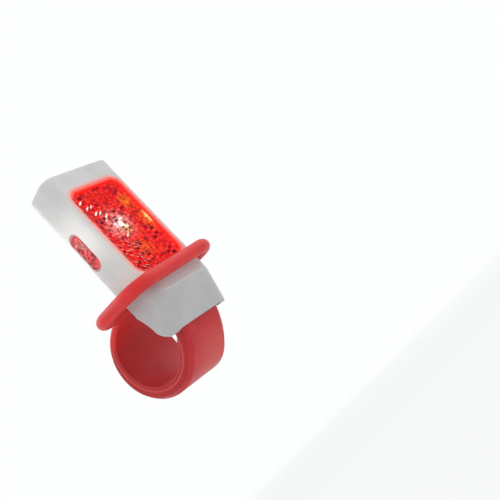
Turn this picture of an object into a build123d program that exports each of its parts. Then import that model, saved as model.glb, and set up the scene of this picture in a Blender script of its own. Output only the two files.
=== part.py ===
"""Rear bike light with a stretch strap, in millimetres.

The origin is on the axis of the handlebar, at the middle of the light's width.
X runs along the bar, -Y is the way the light shines, +Z runs up the housing.
"""

import os
from math import cos, radians, sin, tan

from build123d import *

os.makedirs("parts", exist_ok=True)

# Handlebar that the light is made for, and the housing's place on it
bar_radius = 11.1
front_reach = 19.8
body_width = 27.4
body_depth = 12.5
body_corner = 3.8
body_top = 53.4
top_round = 0.5

# Softened edge of the small inner pieces
edge_break = 0.2

# Split between foot and cover, the cover's wall and the gap at the joint
split_height = 11.2
wall = 1.5
inner_corner = 1.2
joint_gap = 0.1
slip = 0.15

# Front window, its prism lens and the lens seal
window_border = 3.4
window_low = 13.95
window_high = 46.55
window_corner = 3.5
lens_recess = 0.15
lens_gap = 0.1
flange_room = 0.1
flange_thickness = 0.6
seal_thickness = 0.3
field_margin = 0.85
field_drop = 0.2
prism_pitch = 2.7
prism_depth = 0.7
prism_top = 0.1

# Side key, in a slot of the left wall
key_height = 11.2
key_width = 4.2
key_gap = 0.3
key_level = 30.6
key_setback = 1.2
key_recess = 0.2
key_travel = 0.5
key_flange = 0.5
key_flange_thickness = 0.4
key_bevel = 1.5
key_bevel_drop = 0.45
key_cut_past = 0.5
pad_thickness = 0.35

# Foot: shoulder below the strap, slanted front, saddle and rim
shoulder_height = 9.4
crease_height = 6.2
crease_bulge = 1.4
rim_height = -4.0
rim_setback = 2.4
rim_depth = 3.1
crease_corner = 6.6
rim_corner = 6.1
rim_round = 0.4
saddle_lip_gap = 0.3
heel_angle = 0.6
heel_bulge = 0.3
skirt_wall = 1.1

# Saddle pad, let into the foot
pad_depth = 1.0
pad_width = 24.0
pad_start = 42.0
pad_end = 71.0
pad_rib_pitch = 5.5
pad_rib_cut = 0.4

# Strap: round loop, wide band and the eye on its pin
cord_radius = 2.1
loop_room = 4.7
loop_corner = 6.5
loop_front_height = 11.6
loop_rear_height = 14.2
loop_rear_reach = 0.6
loop_clearance = 0.2
loop_lean = 2.2
band_width = 21.0
band_flare = 6.3
band_outer = 14.7
band_shift = 0.9
band_drop = 0.8
band_end = 226.0
band_leave = 210.0
band_bevel_side = 1.4
band_bevel_top = 1.9
tail_run = 5.0
tail_step = 0.5
tail_depth = 3.7
tail_height = -3.5
eye_depth = 5.5
eye_height = 0.5
eye_taper = 1.3
eye_radius = 2.5
eye_gap = 0.3
pin_radius = 1.0
pin_slip = 0.05
pin_hold = 2.3

# Spigot of the foot, which fills the cover's mouth, and its ring seal
spigot_height = 1.9
spigot_wall = 1.3
spigot_corner = 0.6
seal_section = 1.0
seal_bite = 0.55
seal_level = 0.9

# Coin cell, its cup in the carrier and the sheet contacts
cell_radius = 10.0
cell_thickness = 3.2
cell_lid_step = 1.2
cell_level = 40.2
cell_gap = 0.15
cup_wall = 0.8
cup_floor = 0.5
sheet = 0.2
tab_sheet = 0.15
contact_width = 3.0
contact_offset = 5.2
contact_low = 29.0
contact_high = 47.2
tab_low = 34.0
tab_high = 43.0

# Carrier below the cup
spine_width = 6.0
base_side_room = 0.05
base_front_room = 0.3
base_thickness = 2.0
spine_setback = 1.6
back_gap = 0.35

# Circuit board and what stands on it
board_room = 2.0
board_low = 14.9
board_high = 50.4
board_thickness = 1.0
led_upper_level = 31.3
led_lower_level = 21.1
led_size = 3.5
led_base = 1.2
led_dome = 1.45
chip_length = 4.9
chip_width = 3.9
chip_height = 1.5
chip_level = 23.4
chip_offset = 6.6
lead_count = 4
lead_pitch = 1.27
lead_width = 0.4
lead_reach = 1.0
lead_thickness = 0.25
resistor_length = 3.2
resistor_width = 1.6
resistor_height = 0.6
resistor_offset = 6.4
capacitor_radius = 1.6
capacitor_height = 2.4
capacitor_level = 18.6

# Side push switch
switch_depth = 3.0
switch_height = 4.4
switch_rise = 2.2
switch_drop = 1.2
plunger_width = 1.0
plunger_height = 1.6
plunger_gap = 0.05
plunger_free_play = 0.05
plunger_inside = 1.5

# Small screws
screw_radius = 0.8
screw_head_radius = 1.5
screw_head_height = 0.9
screw_slot = 0.45
foot_screw_length = 5.0
foot_screw_offset = 8.3
board_screw_length = 3.2
board_screw_levels = (17.3, 26.2)

# Places that follow from the sizes above
front_y = -front_reach
back_y = front_y + body_depth
mid_y = front_y + body_depth / 2
cover_height = body_top - split_height
inner_width = body_width - 2 * wall
inner_depth = body_depth - 2 * wall
inner_front = front_y + wall
inner_back = back_y - wall
window_width = body_width - 2 * window_border
window_height = window_high - window_low
window_level = (window_high + window_low) / 2
spigot_top = split_height + spigot_height
foot_top = split_height - joint_gap
crease_y = front_y - crease_bulge
rim_front = front_y + rim_setback
rim_back = rim_front + rim_depth
saddle_radius = bar_radius + saddle_lip_gap
key_y = mid_y + key_setback
key_face = -body_width / 2 + key_recess
key_flange_x = -inner_width / 2 + slip
pad_face = key_flange_x + key_flange_thickness
switch_face = pad_face + pad_thickness + plunger_free_play + key_travel + slip
lens_face = front_y + lens_recess
flange_margin = window_border - wall - inner_corner - flange_room
flange_front = inner_front + seal_thickness
cell_back = inner_back - back_gap
cell_front = cell_back - cell_thickness
cup_front = cell_front - tab_sheet
board_back = cup_front - cup_floor
board_front = board_back - board_thickness
board_width = inner_width - 2 * board_room
spine_back = inner_back - spine_setback
base_width = inner_width - 2 * (slip + spigot_wall + base_side_room)
base_depth = inner_depth - 2 * (slip + spigot_wall + base_front_room)
cup_radius = cell_radius + cell_gap
loop_half_width = body_width / 2 + loop_room
eye_width = band_width - 2 * eye_taper
pin_length = eye_width + 2 * pin_hold
tail_y = front_y + tail_depth
eye_y = front_y + eye_depth
eye_z = eye_height
seal_low = foot_top + seal_level - seal_section / 2
groove_width = inner_width - 2 * (slip + seal_bite)
groove_depth = inner_depth - 2 * (slip + seal_bite)
groove_corner = inner_corner - slip - seal_bite


def ring_point(radius, angle):
    """Point (Y, Z) at a distance from the bar's axis; the angle runs from +Z to the rear."""
    return (radius * sin(radians(angle)), radius * cos(radians(angle)))


def polar_point(radius, angle):
    """Point (Y, Z) at a distance from the bar's axis; the angle runs from +Z to the front."""
    return ring_point(radius, -angle)


def band_heading(angle):
    """Direction (Y, Z) in which the strap's band runs at an angle."""
    return (cos(radians(angle)), -sin(radians(angle)))


def band_point(angle):
    """Point (Y, Z) on the outer face of the band, which is thicker at the rear than in front."""
    across, up = ring_point(band_outer, angle)
    return (band_shift + across, up - band_drop)


def from_axis(edge):
    """Distance of an edge's middle from the bar's axis."""
    middle = edge @ 0.5
    return (middle.Y**2 + middle.Z**2) ** 0.5

# Frosted cover: a shell open at its mouth, with the window and the key's slot
with BuildPart() as frosted_cover:
    with BuildSketch(Plane.XY.offset(split_height)):
        with Locations((0, mid_y)):
            RectangleRounded(body_width, body_depth, body_corner)
    extrude(amount=cover_height)
    fillet(frosted_cover.edges().group_by(Axis.Z)[-1], top_round)
    with BuildSketch(Plane.XY.offset(split_height)):
        with Locations((0, mid_y)):
            RectangleRounded(inner_width, inner_depth, inner_corner)
    extrude(amount=cover_height - wall, mode=Mode.SUBTRACT)
    with BuildSketch(Plane.XZ.offset(front_reach)):
        with Locations((0, window_level)):
            RectangleRounded(window_width, window_height, window_corner)
    extrude(amount=-wall, mode=Mode.SUBTRACT)
    with BuildSketch(Plane.YZ.offset(-body_width / 2)):
        with Locations((key_y, key_level)):
            SlotOverall(key_height + 2 * key_gap, key_width + 2 * key_gap, rotation=90)
    extrude(amount=wall + key_cut_past, mode=Mode.SUBTRACT)
frosted_cover.part.label = "frosted_cover"

# Field of the prism lens: a slab cut to points by crossed V grooves
lens_width = window_width - 2 * lens_gap
lens_height = window_height - 2 * lens_gap
field_width = lens_width - 2 * field_margin
field_height = lens_height - 2 * field_margin
field_corner = window_corner - lens_gap - field_margin
field_face = lens_face + field_drop
field_floor = field_face + prism_depth
groove_half = (prism_pitch - prism_top) / 2
prism_columns = int(field_width / prism_pitch) + 1
prism_rows = int(field_height / prism_pitch) + 1
with BuildPart() as prism_field:
    with BuildSketch(Plane.XZ.offset(-field_face)):
        with Locations((0, window_level)):
            RectangleRounded(field_width, field_height, field_corner)
    extrude(amount=-2 * prism_depth)
    with BuildSketch(Plane.XY.offset(window_low)):
        with GridLocations(prism_pitch, 0, prism_columns, 1):
            Polygon(
                (-groove_half, field_face),
                (groove_half, field_face),
                (0, field_floor),
                align=None,
            )
    extrude(amount=window_height, mode=Mode.SUBTRACT)
    with BuildSketch(Plane.YZ.offset(-window_width / 2)):
        with Locations((0, window_level)):
            with GridLocations(0, prism_pitch, 1, prism_rows):
                Polygon(
                    (field_face, -groove_half),
                    (field_face, groove_half),
                    (field_floor, 0),
                    align=None,
                )
    extrude(amount=window_width, mode=Mode.SUBTRACT)

# Prism lens: a plate in the window round the sunk field, and a flange behind it
flange_width = window_width + 2 * flange_margin
flange_height = window_height + 2 * flange_margin
flange_back = flange_front + flange_thickness
with BuildPart() as reflector_lens:
    with BuildSketch(Plane.XZ.offset(-lens_face)):
        with Locations((0, window_level)):
            RectangleRounded(lens_width, lens_height, window_corner - lens_gap)
    extrude(amount=lens_face - flange_back)
    with BuildSketch(Plane.XZ.offset(-flange_front)):
        with Locations((0, window_level)):
            RectangleRounded(flange_width, flange_height, window_corner + flange_margin)
    extrude(amount=-flange_thickness)
    with BuildSketch(Plane.XZ.offset(-lens_face)):
        with Locations((0, window_level)):
            RectangleRounded(field_width, field_height, field_corner)
    extrude(amount=lens_face - field_floor, mode=Mode.SUBTRACT)
    add(prism_field.part)
reflector_lens.part.label = "reflector_lens"

# Flat seal between the lens flange and the inside of the cover
with BuildPart() as lens_seal:
    with BuildSketch(Plane.XZ.offset(-inner_front)):
        with Locations((0, window_level)):
            RectangleRounded(flange_width, flange_height, window_corner + flange_margin)
            RectangleRounded(window_width, window_height, window_corner, mode=Mode.SUBTRACT)
    extrude(amount=-seal_thickness)
lens_seal.part.label = "lens_seal"

# Side key: oblong with bevelled ends, and a flange that keeps it in its slot
with BuildPart() as side_key:
    with BuildSketch(Plane.YZ.offset(key_face)):
        with Locations((key_y, key_level)):
            SlotOverall(key_height, key_width, rotation=90)
    extrude(amount=key_flange_x - key_face)
    with BuildSketch(Plane.YZ.offset(key_flange_x)):
        with Locations((key_y, key_level)):
            SlotOverall(key_height + 2 * (key_gap + key_flange), key_width - 2 * key_gap, rotation=90)
    extrude(amount=key_flange_thickness)
    with BuildSketch(Plane.XZ.offset(-key_y)):
        for end in (-1, 1):
            tip = key_level + end * key_height / 2
            with BuildLine():
                Polyline(
                    (key_face, tip - end * key_bevel),
                    (key_face, tip),
                    (key_face + key_bevel_drop, tip),
                    close=True,
                )
            make_face()
    extrude(amount=key_width, both=True, mode=Mode.SUBTRACT)
side_key.part.label = "side_key"

# Silicone pad on the key's inner face
with BuildPart() as key_pad:
    with BuildSketch(Plane.YZ.offset(pad_face)):
        with Locations((key_y, key_level)):
            SlotOverall(key_height - key_width, key_width - 2 * key_gap, rotation=90)
    extrude(amount=pad_thickness)
key_pad.part.label = "key_pad"

# Foot: neck, bulging shoulder and a skirt that narrows towards the rim
foot_sections = (
    (shoulder_height, front_y, body_corner),
    (crease_height, crease_y, crease_corner),
    (rim_height, rim_front, rim_corner),
)
with BuildPart() as foot:
    half = body_width / 2
    for level, front, corner in foot_sections:
        with BuildSketch(Plane.XY.offset(level)):
            with BuildLine():
                Line((-half + body_corner, back_y), (half - body_corner, back_y))
                RadiusArc((half - body_corner, back_y), (half, back_y - body_corner), body_corner)
                Line((half, back_y - body_corner), (half, front + corner))
                RadiusArc((half, front + corner), (half - corner, front), corner)
                Line((half - corner, front), (-half + corner, front))
                RadiusArc((-half + corner, front), (-half, front + corner), corner)
                Line((-half, front + corner), (-half, back_y - body_corner))
                RadiusArc((-half, back_y - body_corner), (-half + body_corner, back_y), body_corner)
            make_face()
    loft(ruled=True)
    with BuildSketch(Plane.XY.offset(shoulder_height)):
        with Locations((0, mid_y)):
            RectangleRounded(body_width, body_depth, body_corner)
    extrude(amount=foot_top - shoulder_height)
    # Saddle, and the heel that curves away from it to the rim
    with BuildSketch(Plane.YZ):
        heel = (rim_back, rim_height)
        lift = ring_point(saddle_radius, 270 - heel_angle)
        bend = ((heel[0] + lift[0]) / 2 + heel_bulge, (heel[1] + lift[1]) / 2 - heel_bulge / 2)
        with BuildLine():
            ThreePointArc(heel, bend, lift)
            Polyline(lift, (back_y, lift[1]), (back_y, rim_height), heel)
        make_face()
        Circle(saddle_radius)
    extrude(amount=body_width, both=True, mode=Mode.SUBTRACT)
    rim_edges = foot.edges().group_by(Axis.Z)[0]
    fillet(rim_edges, rim_round)
    # Spigot that fills the mouth of the cover, with the seal's groove round it
    with BuildSketch(Plane.XY.offset(foot_top)):
        with Locations((0, mid_y)):
            RectangleRounded(inner_width - 2 * slip, inner_depth - 2 * slip, inner_corner - slip)
            RectangleRounded(
                inner_width - 2 * (slip + spigot_wall),
                inner_depth - 2 * (slip + spigot_wall),
                spigot_corner,
                mode=Mode.SUBTRACT,
            )
    extrude(amount=spigot_top - foot_top)
    with BuildSketch(Plane.XY.offset(seal_low)):
        with Locations((0, mid_y)):
            RectangleRounded(inner_width, inner_depth, inner_corner)
            RectangleRounded(groove_width, groove_depth, groove_corner, mode=Mode.SUBTRACT)
    extrude(amount=seal_section, mode=Mode.SUBTRACT)
    # Slot behind the skirt for the strap's eye, and the pin's blind bore across it
    with BuildSketch(Plane.YZ):
        slant = (rim_front - crease_y) / (crease_height - rim_height)
        slot_top = eye_z + eye_radius + eye_gap
        slot_back = -saddle_radius + eye_radius
        with BuildLine():
            Polyline(
                (rim_front + skirt_wall, rim_height),
                (crease_y + (crease_height - slot_top) * slant + skirt_wall, slot_top),
                (slot_back, slot_top),
                (slot_back, rim_height),
                close=True,
            )
        make_face()
    extrude(amount=eye_width / 2 + eye_gap, both=True, mode=Mode.SUBTRACT)
    with BuildSketch(Plane.YZ):
        with Locations((eye_y, eye_z)):
            Circle(pin_radius + pin_slip)
    extrude(amount=pin_length / 2 + pin_slip, both=True, mode=Mode.SUBTRACT)
    # Recess for the saddle pad
    with BuildSketch(Plane.YZ):
        with BuildLine():
            CenterArc((0, 0), bar_radius + pad_depth, 90 + pad_start, pad_end - pad_start)
            CenterArc((0, 0), bar_radius / 2, 90 + pad_start, pad_end - pad_start)
            Line(polar_point(bar_radius / 2, pad_start), polar_point(bar_radius + pad_depth, pad_start))
            Line(polar_point(bar_radius / 2, pad_end), polar_point(bar_radius + pad_depth, pad_end))
        make_face()
    extrude(amount=pad_width / 2, both=True, mode=Mode.SUBTRACT)
    # Pilot holes for the carrier's screws
    with BuildSketch(Plane.XY.offset(foot_top)):
        with GridLocations(2 * foot_screw_offset, 0, 2, 1):
            with Locations((0, mid_y)):
                Circle(screw_radius + pin_slip)
    extrude(amount=-(foot_screw_length - base_thickness + joint_gap), mode=Mode.SUBTRACT)
foot.part.label = "foot"

# Saddle pad, ribbed where it grips the bar
with BuildPart() as saddle_pad:
    with BuildSketch(Plane.YZ):
        with BuildLine():
            CenterArc((0, 0), bar_radius + pad_depth, 90 + pad_start, pad_end - pad_start)
            CenterArc((0, 0), bar_radius, 90 + pad_start, pad_end - pad_start)
            Line(polar_point(bar_radius, pad_start), polar_point(bar_radius + pad_depth, pad_start))
            Line(polar_point(bar_radius, pad_end), polar_point(bar_radius + pad_depth, pad_end))
        make_face()
        for count in range(1, int((pad_end - pad_start) / pad_rib_pitch) + 1):
            groove = pad_start + count * pad_rib_pitch
            with Locations(polar_point(bar_radius, groove)):
                Circle(pad_rib_cut, mode=Mode.SUBTRACT)
    extrude(amount=pad_width / 2, both=True)
saddle_pad.part.label = "saddle_pad"

# Strap: the band round the bar, its tail and eye, and the round loop round the neck
loop_front_y = front_y - loop_clearance - cord_radius
loop_run = loop_rear_reach - loop_front_y
loop_rise = loop_rear_height - loop_front_height
loop_length = (loop_run**2 + loop_rise**2) ** 0.5
lean_run = cos(radians(loop_lean))
lean_rise = sin(radians(loop_lean))
loop_plane = Plane(
    origin=(0, loop_rear_reach, loop_rear_height),
    x_dir=(lean_run, 0, lean_rise),
    z_dir=(-lean_rise * loop_run, -lean_run * loop_rise, lean_run * loop_run),
)
band_start = ring_point(bar_radius, band_end)
band_aim = band_heading(band_end)
tail_knee = (band_start[0] + tail_run * band_aim[0], band_start[1] + tail_run * band_aim[1])
front_half = band_width / 2 - front_reach * tan(radians(band_flare))
rear_half = band_width / 2 + front_reach * tan(radians(band_flare))
with BuildPart() as strap:
    with BuildSketch(Plane.YZ):
        with BuildLine():
            CenterArc((0, 0), bar_radius, 90, -band_end)
            Line((0, bar_radius), band_point(0))
            CenterArc((band_shift, -band_drop), band_outer, 90, -band_leave)
            TangentArc(band_point(band_leave), (tail_y, tail_height), tangent=band_heading(band_leave))
            Polyline(
                (tail_y, tail_height),
                (eye_y - eye_radius, eye_z),
                (eye_y + eye_radius - tail_step, eye_z),
                tail_knee,
                band_start,
            )
        make_face()
    extrude(amount=rear_half, both=True)
    with BuildSketch(Plane.XY):
        with BuildLine():
            Polyline(
                (-front_half, -front_reach),
                (front_half, -front_reach),
                (rear_half, front_reach),
                (-rear_half, front_reach),
                close=True,
            )
        make_face()
    extrude(amount=front_reach, both=True, mode=Mode.INTERSECT)
    outer_rims = strap.edges().filter_by(GeomType.LINE, reverse=True).filter_by(
        lambda edge: from_axis(edge) > band_outer - band_drop
    )
    chamfer(outer_rims, band_bevel_side, band_bevel_top)
    with BuildSketch(Plane.YZ):
        with Locations((eye_y, eye_z)):
            Circle(eye_radius)
    extrude(amount=eye_width / 2, both=True)
    with BuildSketch(Plane.YZ):
        with Locations((eye_y, eye_z)):
            Circle(pin_radius + pin_slip)
    extrude(amount=eye_width / 2, both=True, mode=Mode.SUBTRACT)
    with BuildLine(loop_plane) as loop_line:
        FilletPolyline(
            (loop_half_width, 0),
            (loop_half_width, -loop_length),
            (-loop_half_width, -loop_length),
            (-loop_half_width, 0),
            radius=loop_corner,
            close=True,
        )
    with BuildSketch(Plane(origin=loop_line.line @ 0, z_dir=loop_line.line % 0)):
        Circle(cord_radius)
    sweep(path=loop_line.line)
strap.part.label = "strap"

# Cross pin through the strap's eye
with BuildPart() as strap_pin:
    with BuildSketch(Plane.YZ.offset(-pin_length / 2)):
        with Locations((eye_y, eye_z)):
            Circle(pin_radius)
    extrude(amount=pin_length)
    chamfer(strap_pin.edges().filter_by(GeomType.CIRCLE), edge_break)
strap_pin.part.label = "strap_pin"

# Ring seal on the spigot
with BuildPart() as cover_seal:
    with BuildSketch(Plane.XY.offset(seal_low)):
        with Locations((0, mid_y)):
            RectangleRounded(inner_width - 2 * pin_slip, inner_depth - 2 * pin_slip, inner_corner - pin_slip)
            RectangleRounded(groove_width, groove_depth, groove_corner, mode=Mode.SUBTRACT)
    extrude(amount=seal_section)
    fillet(cover_seal.edges().group_by(Axis.Z)[-1], edge_break)
    fillet(cover_seal.edges().group_by(Axis.Z)[0], edge_break)
cover_seal.part.label = "cover_seal"

# Battery carrier: base plate in the spigot, spine behind the board, cup for the cell
with BuildPart() as battery_carrier:
    with BuildSketch(Plane.XZ.offset(-cell_back)):
        with Locations((0, cell_level)):
            Circle(cup_radius + cup_wall)
    extrude(amount=cell_back - board_back)
    with BuildSketch(Plane.XY.offset(foot_top)):
        with Locations((0, mid_y)):
            RectangleRounded(base_width, base_depth, spigot_corner)
    extrude(amount=base_thickness)
    spine_high = cell_level - cell_radius
    with BuildSketch(Plane.XY.offset(foot_top + base_thickness)):
        with Locations((0, (board_back + spine_back) / 2)):
            Rectangle(spine_width, spine_back - board_back)
    extrude(amount=spine_high - foot_top - base_thickness)
    with BuildSketch(Plane.XZ.offset(-cell_back)):
        with Locations((0, cell_level)):
            Circle(cup_radius)
    extrude(amount=cell_back - cup_front, mode=Mode.SUBTRACT)
    with BuildSketch(Plane.XZ.offset(-cup_front)):
        with Locations((0, tab_low)):
            Rectangle(contact_width + 2 * slip, 4 * tab_sheet)
    extrude(amount=cup_floor, mode=Mode.SUBTRACT)
    with BuildSketch(Plane.XY.offset(foot_top + base_thickness)):
        with GridLocations(2 * foot_screw_offset, 0, 2, 1):
            with Locations((0, mid_y)):
                Circle(screw_radius + pin_slip)
    extrude(amount=-base_thickness, mode=Mode.SUBTRACT)
    with BuildSketch(Plane.XZ.offset(-board_back)):
        for level in board_screw_levels:
            with Locations((0, level)):
                Circle(screw_radius + pin_slip)
    extrude(amount=-(board_screw_length - board_thickness + joint_gap), mode=Mode.SUBTRACT)
battery_carrier.part.label = "battery_carrier"

# Coin cell: a can with its smaller, stepped lid to the front
with BuildPart() as coin_cell:
    with BuildSketch(Plane.XZ.offset(-cell_back)):
        with Locations((0, cell_level)):
            Circle(cell_radius)
    extrude(amount=cell_thickness - 2 * tab_sheet)
    chamfer(coin_cell.edges().filter_by(GeomType.CIRCLE), tab_sheet)
    with BuildSketch(Plane.XZ.offset(-cell_front - 2 * tab_sheet)):
        with Locations((0, cell_level)):
            Circle(cell_radius - cell_lid_step)
    extrude(amount=2 * tab_sheet)
coin_cell.part.label = "coin_cell"

# Sheet contacts: a strip across the can, and a tab under the lid
with BuildPart() as contact_positive:
    with BuildSketch(Plane.XZ.offset(-cell_back)):
        with Locations((contact_offset, (contact_low + contact_high) / 2)):
            Rectangle(contact_width, contact_high - contact_low)
    extrude(amount=-sheet)
    with BuildSketch(Plane.XY.offset(contact_low)):
        with Locations((contact_offset, (board_back + cell_back + sheet) / 2)):
            Rectangle(contact_width, cell_back + sheet - board_back)
    extrude(amount=sheet)
contact_positive.part.label = "contact_positive"

with BuildPart() as contact_negative:
    with BuildSketch(Plane.XZ.offset(-cup_front)):
        with Locations((0, (tab_low + tab_high) / 2)):
            Rectangle(contact_width, tab_high - tab_low)
    extrude(amount=-tab_sheet)
    with BuildSketch(Plane.XZ.offset(-cup_front)):
        with Locations((0, tab_low + tab_sheet / 2)):
            Rectangle(contact_width, tab_sheet)
    extrude(amount=cup_floor)
contact_negative.part.label = "contact_negative"

# Circuit board with its two screw holes
with BuildPart() as circuit_board:
    with BuildSketch(Plane.XZ.offset(-board_back)):
        with Locations((0, (board_low + board_high) / 2)):
            RectangleRounded(board_width, board_high - board_low, wall)
        for level in board_screw_levels:
            with Locations((0, level)):
                Circle(screw_radius + pin_slip, mode=Mode.SUBTRACT)
    extrude(amount=board_thickness)
circuit_board.part.label = "circuit_board"

# Light sources, each a square base with a domed lens
led_levels = {"led_upper": led_upper_level, "led_lower": led_lower_level}
for led_name, led_level in led_levels.items():
    with BuildPart() as led:
        with BuildSketch(Plane.XZ.offset(-board_front)):
            with Locations((0, led_level)):
                Rectangle(led_size, led_size)
        extrude(amount=led_base)
        chamfer(led.edges().filter_by(Axis.Y), edge_break)
        with BuildSketch(Plane.YZ):
            with BuildLine():
                dome_base = board_front - led_base
                Line((dome_base, led_level), (dome_base - led_dome, led_level))
                RadiusArc(
                    (dome_base - led_dome, led_level), (dome_base, led_level + led_dome), led_dome
                )
                Line((dome_base, led_level + led_dome), (dome_base, led_level))
            make_face()
        revolve(axis=Axis((0, dome_base, led_level), (0, 1, 0)))
    led.part.label = led_name
    export_step(led.part, f"parts/{led_name}.step")

# Chip resistors on the front of the board, one beside each light source
with BuildPart() as led_resistors:
    with BuildSketch(Plane.XZ.offset(-board_front)):
        for led_level in led_levels.values():
            with Locations((resistor_offset, led_level)):
                Rectangle(resistor_length, resistor_width)
    extrude(amount=resistor_height)
led_resistors.part.label = "led_resistors"

# Flasher chip with its leads, on the rear of the board
with BuildPart() as control_chip:
    with BuildSketch(Plane.XZ.offset(-board_back - lead_thickness)):
        with Locations((chip_offset, chip_level)):
            Rectangle(chip_width, chip_length)
    extrude(amount=-(chip_height - lead_thickness))
    with BuildSketch(Plane.XZ.offset(-board_back)):
        for side in (-1, 1):
            lead_x = chip_offset + side * (chip_width + lead_reach) / 2
            with Locations((lead_x, chip_level)):
                with GridLocations(0, lead_pitch, 1, lead_count):
                    Rectangle(lead_reach, lead_width)
    extrude(amount=-chip_height / 2)
    with BuildSketch(Plane.XZ.offset(-board_back - lead_thickness)):
        for side in (-1, 1):
            outer_x = chip_offset + side * (chip_width / 2 + lead_reach)
            with Locations((outer_x, chip_level)):
                Rectangle(lead_reach, chip_length)
    extrude(amount=-chip_height, mode=Mode.SUBTRACT)
control_chip.part.label = "control_chip"

# Capacitor beside the chip
with BuildPart() as chip_capacitor:
    with BuildSketch(Plane.XZ.offset(-board_back)):
        with Locations((chip_offset, capacitor_level)):
            Circle(capacitor_radius)
    extrude(amount=-capacitor_height)
    fillet(chip_capacitor.edges().group_by(Axis.Y)[-1], edge_break)
chip_capacitor.part.label = "chip_capacitor"

# Side push switch: a body open towards the key, and its plunger
switch_level = key_level - switch_drop
plunger_y = board_back + switch_rise / 2
with BuildPart() as switch_body:
    with BuildSketch(Plane.YZ.offset(switch_face)):
        with Locations((plunger_y, switch_level)):
            Rectangle(switch_rise, switch_height)
    extrude(amount=switch_depth)
    with BuildSketch(Plane.YZ.offset(switch_face)):
        with Locations((plunger_y, switch_level)):
            Rectangle(plunger_width + 2 * plunger_gap, plunger_height + 2 * plunger_gap)
    extrude(amount=plunger_inside + key_travel + plunger_gap, mode=Mode.SUBTRACT)
switch_body.part.label = "switch_body"

with BuildPart() as switch_plunger:
    plunger_tip = pad_face + pad_thickness + plunger_free_play
    with BuildSketch(Plane.YZ.offset(plunger_tip)):
        with Locations((plunger_y, switch_level)):
            Rectangle(plunger_width, plunger_height)
    extrude(amount=switch_face + plunger_inside - plunger_tip)
    chamfer(switch_plunger.edges().group_by(Axis.X)[0], edge_break)
switch_plunger.part.label = "switch_plunger"

# Screws: carrier to foot, and board to carrier
with BuildPart() as carrier_screws:
    with BuildSketch(Plane.XY.offset(foot_top + base_thickness)):
        with GridLocations(2 * foot_screw_offset, 0, 2, 1):
            with Locations((0, mid_y)):
                Circle(screw_head_radius)
    extrude(amount=screw_head_height)
    with BuildSketch(Plane.XY.offset(foot_top + base_thickness)):
        with GridLocations(2 * foot_screw_offset, 0, 2, 1):
            with Locations((0, mid_y)):
                Circle(screw_radius)
    extrude(amount=-foot_screw_length)
    with BuildSketch(Plane.XY.offset(foot_top + base_thickness + screw_head_height)):
        with GridLocations(2 * foot_screw_offset, 0, 2, 1):
            with Locations((0, mid_y)):
                Rectangle(2 * screw_head_radius, screw_slot)
    extrude(amount=-screw_slot, mode=Mode.SUBTRACT)
carrier_screws.part.label = "carrier_screws"

with BuildPart() as board_screws:
    with BuildSketch(Plane.XZ.offset(-board_front)):
        for level in board_screw_levels:
            with Locations((0, level)):
                Circle(screw_head_radius)
    extrude(amount=screw_head_height)
    with BuildSketch(Plane.XZ.offset(-board_front)):
        for level in board_screw_levels:
            with Locations((0, level)):
                Circle(screw_radius)
    extrude(amount=-board_screw_length)
    with BuildSketch(Plane.XZ.offset(-board_front + screw_head_height)):
        for level in board_screw_levels:
            with Locations((0, level)):
                Rectangle(2 * screw_head_radius, screw_slot)
    extrude(amount=-screw_slot, mode=Mode.SUBTRACT)
board_screws.part.label = "board_screws"

pieces = [
    frosted_cover, reflector_lens, lens_seal, side_key, key_pad, foot, saddle_pad, strap, strap_pin,
    cover_seal, battery_carrier, coin_cell, contact_positive, contact_negative, circuit_board,
    led_resistors, control_chip, chip_capacitor, switch_body, switch_plunger, carrier_screws,
    board_screws,
]
for piece in pieces:
    export_step(piece.part, f"parts/{piece.part.label}.step")
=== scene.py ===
"""Looks for a rear bike light: frosted cover, lit prism lens, grey foot and red silicone strap.

Lengths are in metres, in the frame of the CAD part: the origin is on the axis of the strap's band,
X runs along that axis, -Y is the way the light shines, and +Z runs up the housing.
"""

import math
import random

import bpy
from mathutils import Matrix, Vector


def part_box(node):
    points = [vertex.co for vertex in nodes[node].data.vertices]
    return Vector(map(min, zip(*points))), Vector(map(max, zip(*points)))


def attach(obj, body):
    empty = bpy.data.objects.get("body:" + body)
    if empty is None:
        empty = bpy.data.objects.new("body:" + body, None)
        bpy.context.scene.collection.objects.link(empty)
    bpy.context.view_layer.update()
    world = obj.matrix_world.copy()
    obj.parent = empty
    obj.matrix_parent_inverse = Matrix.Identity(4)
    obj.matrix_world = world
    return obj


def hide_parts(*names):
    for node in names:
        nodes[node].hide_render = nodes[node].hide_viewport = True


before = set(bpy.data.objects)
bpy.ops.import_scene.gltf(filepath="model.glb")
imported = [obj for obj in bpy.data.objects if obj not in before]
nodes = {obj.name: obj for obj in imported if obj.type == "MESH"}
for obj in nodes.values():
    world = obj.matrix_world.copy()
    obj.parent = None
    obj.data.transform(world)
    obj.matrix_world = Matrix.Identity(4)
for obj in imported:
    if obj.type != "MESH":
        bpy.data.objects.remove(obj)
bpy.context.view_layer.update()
MM = 0.001

# The light's own measures
window_width = 20.6 * MM
window_height = 32.6 * MM
window_corner = 3.5 * MM
window_level = 30.25 * MM
cover_front = -19.8 * MM
lens_face = -19.65 * MM
lens_back = -17.4 * MM
flange_front = -18.0 * MM
flange_overlap = 0.6 * MM
upper_bulb = (-1.6 * MM, 31.3 * MM)
crease_level = 6.2 * MM
band_half = 10.5 * MM
band_flare = math.tan(math.radians(6.3))
parting_radius = 12.6 * MM
key_low, key_high = (Vector(corner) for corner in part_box("side_key"))
key_center = ((key_low.y + key_high.y) / 2, (key_low.z + key_high.z) / 2)
key_halves = ((key_high.y - key_low.y) / 2, (key_high.z - key_low.z) / 2)

# Places between the edges that are rounded and their neighbours
below_window = 12.0 * MM
above_window = 48.0 * MM
behind_key_face = -12.9 * MM
behind_crease = -17.4 * MM

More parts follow.
